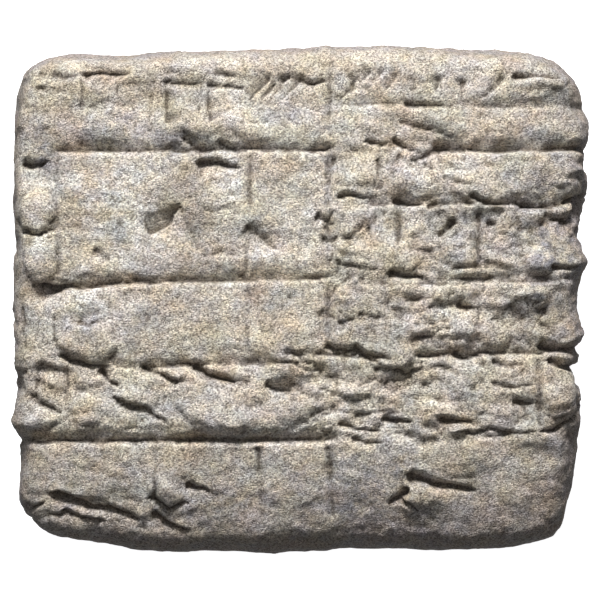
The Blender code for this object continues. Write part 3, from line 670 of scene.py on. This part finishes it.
# Depth of a break: the nearest piece of its path gives the distance, and the side on which a place lies
# gives the width over which the depth falls to nothing. It opens fast at the start of the path and tapers
# to its end.
def breakDip(places, corners, depth, upperWidth, lowerWidth, sway):
    lengths = np.hypot(*np.diff(corners, axis=0).T)
    before = np.concatenate([[0], np.cumsum(lengths)])
    nearest, signed, way = np.full(len(places), 1.0), np.zeros(len(places)), np.zeros(len(places))
    for start, end, length, done in zip(corners, corners[1:], lengths, before):
        along = (end - start) / length
        run = np.clip((places - start) @ along, 0, length)
        away = places - start - run[:, None] * along
        distance = np.hypot(*away.T)
        side = along[0] * away[:, 1] - along[1] * away[:, 0]
        closer = distance < nearest
        nearest = np.where(closer, distance, nearest)
        signed = np.where(closer, np.copysign(distance, side), signed)
        way = np.where(closer, (done + run) / before[-1], way)
    signed = signed + sway
    width = np.where(signed > 0, upperWidth, lowerWidth)
    least, startShare = breaks["leastOpening"], breaks["startShare"]
    opening = easeStep(-least, startShare, way) * (1 - (1 - breaks["endWidth"]) * way)
    fade = opening * np.clip((1 - way) / startShare, 0, 1) ** 0.5 + least
    power = np.where((signed > 0) & (upperWidth > lowerWidth), breaks["bulgePower"], breaks["wallPower"])
    wall = np.clip(1 - np.abs(signed) / (width * fade), 0, 1) ** power
    return depth * fade ** breaks["openingPower"] * wall


# Every named break, each worked out only on the points near it. Where the upper side is the wider one it
# gets a little wider still, and the lower side narrower.
def breakRelief(places, sway):
    dip = np.zeros(len(places))
    for depth, upperWidth, lowerWidth, *path in breaks["paths"]:
        corners = np.array([facePlace(*point) for point in zip(path[::2], path[1::2])])
        if upperWidth > lowerWidth:
            upperWidth, lowerWidth = breaks["bulgeWiden"] * upperWidth, breaks["bulgeNarrow"] * lowerWidth
        reach = breaks["reach"] + max(upperWidth, lowerWidth) * mm
        inside = (places > corners.min(axis=0) - reach) & (places < corners.max(axis=0) + reach)
        near = np.nonzero(inside.all(axis=1))[0]
        shift = sway["line"][near]
        found = breakDip(places[near], corners, depth * mm, upperWidth * mm, lowerWidth * mm, shift)
        dip[near] = np.maximum(dip[near], found)
    return dip


# Patches of white crust, and grey patches that are partly grey clay and partly painted shade on dark slopes,
# hollows and the left and right edges.
patches = {  # across, up, half length across, half length up, share
    "crust": (
        (180, 710, 3, 2.4, 0.7), (215, 620, 2, 2.4, 0.7), (385, 725, 2, 0.9, 0.8),
        (450, 585, 1.7, 0.9, 0.8), (60, 600, 1, 1.2, 0.5), (140, 495, 2.4, 1.5, 0.8),
        (660, 790, 1.5, 1.5, 0.6), (700, 740, 1.5, 1.2, 0.6), (640, 660, 1.5, 1.2, 0.6),
        (890, 610, 0.6, 1, 0.8), (720, 460, 3, 1.2, 0.5), (270, 60, 1.3, 1, 0.6), (470, 860, 2, 2.5, 0.4),
        (300, 110, 9, 1.8, 0.45), (150, 170, 4, 1.5, 0.35),
    ),
    # Partly grey clay, partly painted shade: the long patches by the left and right edges and those on the
    # dark slopes.
    "grey": (
        (65, 790, 1.2, 2.2, 1), (190, 835, 3.5, 1.6, 0.7), (315, 795, 4, 1.2, 0.7),
        (320, 625, 1.3, 3.2, 0.7), (590, 480, 2.6, 2.6, 0.6), (600, 110, 4.5, 3.5, 0.8),
        (760, 60, 6, 2, 0.5), (360, 100, 5, 3.5, 0.7), (680, 180, 2.2, 1.5, 0.6), (760, 640, 3, 3, 0.4),
        (900, 500, 2, 3, 0.5), (985, 560, 3, 11, 0.7), (10, 500, 1.2, 14, 0.5), (900, 700, 3.5, 7, 0.5),
        (920, 600, 1.5, 1.6, 0.7),
    ),
}

# The wear of the surface: sizes of the cells of each noise and how far each moves the surface. Pairs are
# the least and the most, where something starts and where it is full, or for names that end in Share a value
# on whole clay and what is added on worn clay.
wear = {
    "sways": ((0.10 * mm, 3.0 * mm, 3), (0.07 * mm, 0.9 * mm, 4), (0.07 * mm, 0.45 * mm, 6)),
    "fade": (2.4 * mm, 5),
    "noises": (  # how far, cell, seed, layers, share on whole clay and what is added on worn clay
        (0.20, 7.0, 31, 2, 1, 0), (0.34, 2.8, 41, 3, 0.9, 0.5), (0.045, 0.55, 51, 2, 1, 0),
    ),
    "chips": ((0.17, 2.9, 1.9, 63), (0.09, 0.9, 0.65, 64)),  # how far, cell across and up, seed
    "chipShare": (0.6, 0.4),
    "warp": 0.5 * mm,
    "warpCell": 1.5 * mm,
    "warpSeeds": (61, 62),
    "creaseNoise": ((2.6 * mm, 1.1 * mm, 2.0 * mm), 11, 3, 0.55),
    "crease": 0.22 * mm,
    "creaseShare": (0.15, 0.85),
    "creaseThinness": 5.0,
    "creasePower": 1.4,
    "creaseAreas": (4.0 * mm, 21),
    "creaseAreaStart": (-0.2, 0.5),
    "folds": 260,
    "foldLength": (1.0 * mm, 4.2 * mm),
    "foldWidth": (0.35 * mm, 1.00 * mm),
    "foldDepth": (0.06 * mm, 0.42 * mm),
    "foldDepthPower": 1.3,
    "foldDepthShare": (0.4, 0.6),
    "foldBearing": (-38, 22),
    "foldBend": 0.9,
    "foldSides": ((1, 1.8), (0.8, 1.4)),
    "foldLesser": 0.35,
    "lumps": 220,
    "lumpSize": (0.7 * mm, 2.0 * mm),
    "lumpHeight": (0.08 * mm, 0.55 * mm),
    "lumpLength": 1.3,
    "lumpSteepness": 1.8,
    "lumpReach": 2.5,
    "spread": 0.97,
    "leastWorn": 0.12,
    "seed": 5,
    "rightAcross": (0.5, 0.6),
    "rightFoot": (0.20, 0.28),
    "rightHead": (0.70, 0.74),
    "headSpared": 0.7,
    "lineFoot": (0.22, 0.26),
    "lineHead": (0.42, 0.37),
    "lineWorn": 0.7,
    "cornerAcross": (0.28, 0.2),
    "cornerUp": (0.16, 0.12),
    "cornerWorn": 0.5,
    "faceStart": (0.45, 0.8),
    "topStart": (0.80, 0.92),
}


# How worn a place of the face is, from 0 to 1: the right half and the line under the middle are worn into
# creases that run with the writing.
def wornShare(places):
    across = places[:, 0] / lump["width"] + 0.5
    up = places[:, 1] / lump["height"] + 0.5
    head = 1 - wear["headSpared"] * easeStep(*wear["rightHead"], up)
    right = easeStep(*wear["rightAcross"], across) * easeStep(*wear["rightFoot"], up) * head
    line = wear["lineWorn"] * (easeStep(*wear["lineFoot"], up) * easeStep(*wear["lineHead"], up))
    corner = wear["cornerWorn"] * easeStep(*wear["cornerAcross"], across) * easeStep(*wear["cornerUp"], up)
    return np.clip(right + line + corner, 0, 1)


# A value between the two of a pair.
def betweenPair(share, pair):
    return np.interp(share, (0, 1), pair)


# Small folds and lumps of weathering, thickest where the face is most worn. A fold is a short bent break
# that runs roughly with the writing, a lump a bell that falls off faster on its lower side.
def weathering(places, sway):
    dip, rise = np.zeros(len(places)), np.zeros(len(places))
    chance = np.random.default_rng(wear["seed"])
    whole, added = wear["foldDepthShare"]
    for number in range(wear["folds"] + wear["lumps"]):
        centre = chance.uniform(-wear["spread"], wear["spread"], 2) * halfSize
        keep, size, height, turn, bend = chance.random(5)
        strength = wear["leastWorn"] + (1 - wear["leastWorn"]) * wornShare(centre[None])[0]
        if keep > strength:
            continue
        if number < wear["folds"]:
            length = betweenPair(size, wear["foldLength"])
            width = betweenPair((size + height) / 2, wear["foldWidth"])
            depth = betweenPair(height ** wear["foldDepthPower"], wear["foldDepth"])
            depth = depth * (whole + added * strength)
            bearing = math.radians(betweenPair(turn, wear["foldBearing"])) + math.pi * (number % 2)
            along = np.array([math.cos(bearing), math.sin(bearing)]) * length / 2
            middle = centre + np.array([-along[1], along[0]]) * (bend - 0.5) * wear["foldBend"]
            corners = np.array([centre - along, middle, centre + along])
            near = np.nonzero(np.hypot(*(places - centre).T) < length + width)[0]
            upper, lower = (width * side for side in wear["foldSides"][number % 2])
            found = breakDip(places[near], corners, depth, upper, lower, sway["line"][near])
            dip[near] = np.maximum(dip[near], found)
        else:
            reach = betweenPair(size, wear["lumpSize"])
            away = (places - centre) / (reach * wear["lumpLength"], reach)
            near = np.nonzero(np.abs(away).max(axis=1) < wear["lumpReach"])[0]
            side = away[near]
            side[:, 1] = np.where(side[:, 1] < 0, wear["lumpSteepness"] * side[:, 1], side[:, 1])
            rise[near] += betweenPair(height, wear["lumpHeight"]) * strength * np.exp(-(side**2).sum(axis=1))
    return dip, rise


# How far each line strays sideways at a place, and how its depth changes.
def faceSway(points):
    line = sum(far * cellNoise(points, cell, seed) for far, cell, seed in wear["sways"])
    return {"line": line, "fade": cellNoise(points, *wear["fade"])}


# All relief of the surface, in metres along its normal, and the depth of the divisions in it. Two dips at
# one place give the deeper one and a share of the other.
def surfaceRelief(points):
    places, level = points[:, :2], points[:, 2] / lump["thickness"]
    sway = faceSway(points)
    onFace, onTop = easeStep(*wear["faceStart"], level), easeStep(*wear["topStart"], level)
    worn = onFace * wornShare(places)
    ruleDip, ruleSwell = ruleRelief(places, sway)
    divisionDip = divisionRelief(places, sway)
    dip = np.maximum(np.maximum(ruleDip, divisionDip), strokeRelief(places, sway))
    weatherDip, rise = weathering(places, sway)
    for more, share in ((breakRelief(places, sway), breaks["lesser"]), (weatherDip, wear["foldLesser"])):
        dip = np.maximum(dip, more) + share * np.minimum(dip, more)
    folds = np.abs(layeredNoise(points, *wear["creaseNoise"]))
    crease = np.clip(1 - folds * wear["creaseThinness"], 0, 1) ** wear["creasePower"]
    crease = crease * easeStep(*wear["creaseAreaStart"], cellNoise(points, *wear["creaseAreas"]))
    move = sum(
        far * mm * layeredNoise(points, cell * mm, seed, layers) * (whole + added * worn)
        for far, cell, seed, layers, whole, added in wear["noises"]
    )
    whole, added = wear["creaseShare"]
    move = move - wear["crease"] * crease * (whole + added * worn)
    warp = np.stack([cellNoise(points, wear["warpCell"], seed) for seed in wear["warpSeeds"]], axis=1)
    warp = warp * wear["warp"]
    rise = rise + domeRelief(places + domes["warpShare"] * warp) * onTop
    whole, added = wear["chipShare"]
    for far, across, up, seed in wear["chips"]:
        chips = chippedNoise(places + warp, (across * mm, up * mm), seed)
        move = move + far * mm * chips * onFace * (whole + added * worn)
    return move + onFace * (ruleSwell + rise - dip), divisionDip


# Mean of a map over a square of cells, by sums along both sides.
def boxMean(grid, reach):
    for axis in (0, 1):
        padded = np.concatenate([np.repeat(grid.take([0], axis), reach + 1, axis), grid,
                                 np.repeat(grid.take([-1], axis), reach, axis)], axis)
        total = np.cumsum(padded, axis)
        size = grid.shape[axis]
        grid = (total.take(np.arange(2 * reach + 1, 2 * reach + 1 + size), axis)
                - total.take(np.arange(size), axis)) / (2 * reach + 1)
    return grid


# Values of the points as an attribute of the mesh.
def addValues(mesh, name, values):
    layer = mesh.attributes.new(name, "FLOAT", "POINT")
    layer.data.foreach_set("value", np.asarray(values, np.float32))


# How the attributes are found. The painted shade on the sides comes in between two levels, as shares of the
# thickness.
shade = {
    "reliefs": {  # relief that counts as 1, how many cells round it each mean takes in, least value
        "hollow": (0.12 * mm, (3, 2), -1),
        "seam": (0.05 * mm, (1,), 0),
    },
    "most": 2,
    "stainAndShadeMost": 1.5,
    "rim": (0.965, 0.78),
}


# The tablet's mesh: the smooth lump moved by its relief, kept inside the box of the frame. Hollows and seams
# are where the face lies below the mean height round it, and give the painted shade of the recesses.
def makeTablet():
    square, level, quads, triangles = lumpNet()
    smooth = lumpPoints(square, level)
    move, divisionDip = surfaceRelief(smooth)
    points = smooth + pointNormals(smooth, quads, triangles) * move[:, None]
    points = np.clip(points, np.array(cadLow), np.array(cadHigh))
    mesh = bpy.data.meshes.new("clayTablet")
    mesh.from_pydata(points.tolist(), [], quads.tolist() + triangles.tolist())
    mesh.polygons.foreach_set("use_smooth", np.ones(len(mesh.polygons), bool))
    faceCount = (net["across"] + 1) * (net["up"] + 1)
    grid = move[:faceCount].reshape(net["up"] + 1, net["across"] + 1)
    # Hollow and seam: how far the face lies below the mean round it, the mask of the painted shade in
    # recesses.
    for name, (full, reaches, least) in shade["reliefs"].items():
        mean, values = grid, np.zeros(len(points))
        for reach in reaches:
            mean = boxMean(mean, reach)
        values[:faceCount] = ((mean - grid) / full).ravel()
        addValues(mesh, name, np.clip(values, least, shade["most"]))
    onFace = smooth[:, 2] > lump["widestLevel"]
    # Grey stain along the divisions, partly painted shade in their grooves.
    stainAndShade = np.clip(divisionDip / writing["divisionDepth"], 0, shade["stainAndShadeMost"])
    addValues(mesh, "stainAndShade", stainAndShade * onFace)
    # The grey patches are partly painted shade.
    for kind, bells in patches.items():
        addValues(mesh, kind, np.clip(bellSum(smooth[:, :2], bells, 1), 0, 1) * onFace)
    # Painted shade on the sides, from just under the face down over the reverse.
    addValues(mesh, "rim", easeStep(*shade["rim"], smooth[:, 2] / lump["thickness"]))
    mesh.update()
    made = bpy.data.objects.new("clayTablet", mesh)
    bpy.context.scene.collection.objects.link(made)
    return made


# Colours and grain of the clay. Scales are how many cells fit in a metre.
clay = {
    "beige": (0.55, 0.508, 0.430),
    "pale": (0.66, 0.626, 0.56),
    "tan": (0.50, 0.40, 0.31),
    "blueGrey": (0.38, 0.385, 0.39),
    # Near-black painted shade for the hollows and seams of the face.
    "recessShade": (0.10, 0.080, 0.062),
    "mineral": (0.74, 0.72, 0.69),
    # Painted shade on the sides: the clay's colour darkened below the face.
    "side": (0.28, 0.245, 0.23),
    # Grey of the grey patches and of the division stains: partly grey clay, partly painted shade.
    "greyClayAndShade": (0.27, 0.265, 0.275),
    "roughness": 0.9,
    "specular": 0.25,
    "noises": {  # scale, values that become 0 and 1, detail, roughness, offset in metres
        "broad": (150, 0.42, 0.62, 3.0, 0.55, 0.3),
        "warm": (210, 0.50, 0.66, 3.0, 0.55, 0.7),
        "grey": (270, 0.52, 0.68, 3.0, 0.55, 1.1),
        "mottle": (700, 0.38, 0.66, 4.0, 0.65, 1.7),
        "cloud": (900, 0.40, 0.60, 4.0, 0.65, 2.3),
        "blueness": (650, 0.36, 0.64, 4.0, 0.6, 3.1),
        "greenness": (420, 0.36, 0.64, 4.0, 0.6, 3.9),
    },
    "washes": (  # noise, share at most, colour, how it is mixed in
        ("warm", 0.55, "tan", "MIX"), ("grey", 0.6, "blueGrey", "MIX"), ("mottle", 0.35, "tan", "MULTIPLY"),
    ),
    "coats": (  # attribute, values that become 0 and 1, share at most, thinned by clouds or not, colour
        # The grey coat is partly grey clay and partly painted shade.
        ("crust", 0.0, 0.8, 1.0, True, "mineral"), ("grey", 0.0, 1.0, 1.0, True, "greyClayAndShade"),
        # The rim coat is painted shade on the sides, and the stain coat is partly painted shade in the
        # divisions.
        ("rim", 0.0, 1.0, 0.8, False, "side"), ("stainAndShade", 0.3, 1.2, 0.8, True, "greyClayAndShade"),
        # Painted shade in the hollows and seams.
        ("hollow", 0.3, 1.8, 0.5, False, "recessShade"), ("seam", 0.35, 1.4, 0.6, False, "recessShade"),
    ),
    "grainScale": 10000,
    "grainTone": ((0.38, 0.36, 0.35), (1.58, 1.58, 1.57)),
    "grainTint": ((1.10, 0.99, 0.88), (0.93, 1.0, 1.08)),
    "grainTintShare": 0.15,
    "grainBump": 0.07 * mm,
    "blueness": ((1.05, 1.01, 0.93), (0.95, 0.98, 1.06)),
    "greenness": ((1.01, 0.982, 1.005), (0.992, 1.016, 0.992)),
    "flakes": {"Scale": 1800, "Detail": 5.0, "Roughness": 0.75},
    "flakeBump": 0.25 * mm,
    "cracks": {"Scale": 800, "Detail": 4.0, "Roughness": 0.6, "noise_type": "RIDGED_MULTIFRACTAL"},
    "crackBump": 0.15 * mm,
}


# A node with its sockets and settings given by name.
def newNode(tree, kind, **values):
    node = tree.nodes.new(kind)
    for name, value in values.items():
        if name in node.inputs:
            node.inputs[name].default_value = value
        else:
            setattr(node, name, value)
    return node


# One colour mixed into another by a share.
def mixColour(tree, share, first, second, way="MIX"):
    node = newNode(tree, "ShaderNodeMix", data_type="RGBA", blend_type=way)
    for socket, value in ((node.inputs[0], share), (node.inputs[6], first), (node.inputs[7], second)):
        if isinstance(value, bpy.types.NodeSocket):
            tree.links.new(value, socket)
        elif isinstance(value, tuple):
            socket.default_value = (*value, 1)
        else:
            socket.default_value = value
    return node.outputs[2]


# A value spread to run from 0 to 1 between two of its values.
def spreadShare(tree, value, low, high):
    spread = newNode(tree, "ShaderNodeMapRange")
    spread.inputs["From Min"].default_value = low
    spread.inputs["From Max"].default_value = high
    tree.links.new(value, spread.inputs["Value"])
    return spread.outputs["Result"]


# A texture read at places.
def textureAt(tree, place, kind, **values):
    texture = newNode(tree, kind, **values)
    tree.links.new(place, texture.inputs["Vector"])
    return texture


# One of the clay's noises on Object coordinates, moved by its offset.
def noiseShare(tree, place, name):
    scale, low, high, detail, roughness, offset = clay["noises"][name]
    shifted = newNode(tree, "ShaderNodeMapping")
    shifted.inputs["Location"].default_value = (offset, offset, offset)
    tree.links.new(place, shifted.inputs["Vector"])
    sizes = {"Scale": scale, "Detail": detail, "Roughness": roughness}
    noise = textureAt(tree, shifted.outputs[0], "ShaderNodeTexNoise", **sizes)
    return spreadShare(tree, noise.outputs["Fac"], low, high)


# A share times a factor, which is a number or another share.
def scaleShare(tree, share, factor):
    node = newNode(tree, "ShaderNodeMath", operation="MULTIPLY")
    tree.links.new(share, node.inputs[0])
    if isinstance(factor, bpy.types.NodeSocket):
        tree.links.new(factor, node.inputs[1])
    else:
        node.inputs[1].default_value = factor
    return node.outputs[0]


# A normal bumped by a height over the normal given.
def bumpOver(tree, height, distance, invert, under=None):
    bump = newNode(tree, "ShaderNodeBump", Strength=1.0, Distance=distance, invert=invert)
    tree.links.new(height, bump.inputs["Height"])
    if under:
        tree.links.new(under, bump.inputs["Normal"])
    return bump.outputs["Normal"]


# The clay's material: broad washes of colour, the coats in order, grains of light and dark with slight
# tints, and cracks, flakes and grains as bumps.
def driedClay():
    material = bpy.data.materials.new("driedClay")
    material.use_nodes = True
    tree = material.node_tree
    surface = tree.nodes["Principled BSDF"]
    surface.inputs["Roughness"].default_value = clay["roughness"]
    surface.inputs["Specular IOR Level"].default_value = clay["specular"]
    place = newNode(tree, "ShaderNodeTexCoord").outputs["Object"]
    share = {name: noiseShare(tree, place, name) for name in clay["noises"]}
    colour = mixColour(tree, share["broad"], clay["beige"], clay["pale"])
    for name, most, coat, way in clay["washes"]:
        colour = mixColour(tree, scaleShare(tree, share[name], most), colour, clay[coat], way)
    # The coats include painted shade on the sides and in the hollows and seams, and partly painted shade in
    # the grey patches and stains.
    for name, low, high, most, clouded, coat in clay["coats"]:
        source = newNode(tree, "ShaderNodeAttribute", attribute_name=name)
        amount = scaleShare(tree, spreadShare(tree, source.outputs["Fac"], low, high), most)
        if clouded:
            amount = scaleShare(tree, amount, share["cloud"])
        colour = mixColour(tree, amount, colour, clay[coat])
    grains = textureAt(tree, place, "ShaderNodeTexVoronoi", Scale=clay["grainScale"])
    chance = newNode(tree, "ShaderNodeSeparateColor")
    tree.links.new(grains.outputs["Color"], chance.inputs[0])
    for tints, value, amount in (
        ("grainTone", chance.outputs[0], 1.0), ("grainTint", chance.outputs[1], clay["grainTintShare"]),
        ("blueness", share["blueness"], 1.0), ("greenness", share["greenness"], 1.0),
    ):
        colour = mixColour(tree, amount, colour, mixColour(tree, value, *clay[tints]), "MULTIPLY")
    tree.links.new(colour, surface.inputs["Base Color"])
    cracks = textureAt(tree, place, "ShaderNodeTexNoise", **clay["cracks"])
    flakes = textureAt(tree, place, "ShaderNodeTexNoise", **clay["flakes"])
    normal = bumpOver(tree, cracks.outputs["Fac"], clay["crackBump"], True)
    normal = bumpOver(tree, flakes.outputs["Fac"], clay["flakeBump"], False, normal)
    normal = bumpOver(tree, grains.outputs["Distance"], clay["grainBump"], True, normal)
    tree.links.new(normal, surface.inputs["Normal"])
    return material


tablet = makeTablet()
tablet.data.materials.append(driedClay())
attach(tablet, "root")
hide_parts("tablet")
print("tablet made:", len(tablet.data.polygons), "faces")

# The studio: a pale floor, one raking key light from the top of the tablet, and a soft fill.
studio = {
    "floorSize": 1.2,
    "floorColour": (0.93, 0.93, 0.93),
    "floorRoughness": 0.95,
    "floorGlow": 0.9,
    "lens": 150.0,
    "sensor": 36.0,
    "viewWidth": 48.2 * mm,
    "keyPower": 4.6,
    "keySize": 0.12,
    "keyDistance": 0.5,
    "keyBearing": math.radians(94),
    "keyElevation": math.radians(36),
    "frontPower": 0.6,
    "frontSize": 0.30,
    "frontDistance": 0.6,
    "fillColour": (0.96, 0.98, 1.0),
    "fillStrength": 0.05,
}


# A pale floor under the tablet that glows a little and lights nothing.
def makeFloor():
    half = studio["floorSize"] / 2
    corners = [(-half, -half, 0), (half, -half, 0), (half, half, 0), (-half, half, 0)]
    mesh = bpy.data.meshes.new("floor")
    mesh.from_pydata(corners, [], [(0, 1, 2, 3)])
    floor = bpy.data.objects.new("floor", mesh)
    bpy.context.scene.collection.objects.link(floor)
    material = bpy.data.materials.new("paleFloor")
    material.use_nodes = True
    surface = material.node_tree.nodes["Principled BSDF"]
    surface.inputs["Base Color"].default_value = (*studio["floorColour"], 1)
    surface.inputs["Roughness"].default_value = studio["floorRoughness"]
    surface.inputs["Emission Color"].default_value = (1, 1, 1, 1)
    surface.inputs["Emission Strength"].default_value = studio["floorGlow"]
    floor.data.materials.append(material)
    floor.visible_diffuse = False


# A square soft light.
def makeLight(name, place, turn):
    light = bpy.data.lights.new(name, "AREA")
    light.energy = studio[name + "Power"]
    light.size = studio[name + "Size"]
    made = bpy.data.objects.new(name, light)
    made.location, made.rotation_euler = place, turn
    bpy.context.scene.collection.objects.link(made)


# A raking key light, and a wide soft light over the middle of the face.
def makeLights():
    bearing, elevation = studio["keyBearing"], studio["keyElevation"]
    flat = math.cos(elevation)
    away = np.array([math.cos(bearing) * flat, math.sin(bearing) * flat, math.sin(elevation)])
    turn = (math.pi / 2 - elevation, 0, bearing + math.pi / 2)
    makeLight("key", away * studio["keyDistance"], turn)
    makeLight("front", (0, 0, studio["frontDistance"]), (0, 0, 0))


# An even, weak light from all round.
def makeWorld():
    world = bpy.data.worlds.new("studioLight")
    world.use_nodes = True
    back = world.node_tree.nodes["Background"]
    back.inputs["Color"].default_value = (*studio["fillColour"], 1)
    back.inputs["Strength"].default_value = studio["fillStrength"]
    bpy.context.scene.world = world


# A camera square over the face, as far off as its lens needs to take in the view's width.
def makeCamera():
    data = bpy.data.cameras.new("camera")
    data.lens = studio["lens"]
    data.sensor_width = studio["sensor"]
    data.clip_start, data.clip_end = 0.01, 5.0
    camera = bpy.data.objects.new("camera", data)
    distance = studio["viewWidth"] * studio["lens"] / studio["sensor"]
    camera.location = (0, 0, lump["widestLevel"] + distance)
    bpy.context.scene.collection.objects.link(camera)
    bpy.context.scene.camera = camera


makeFloor()
makeLights()
makeWorld()
makeCamera()
bpy.context.scene.view_settings.view_transform = "Standard"
print("studio set")
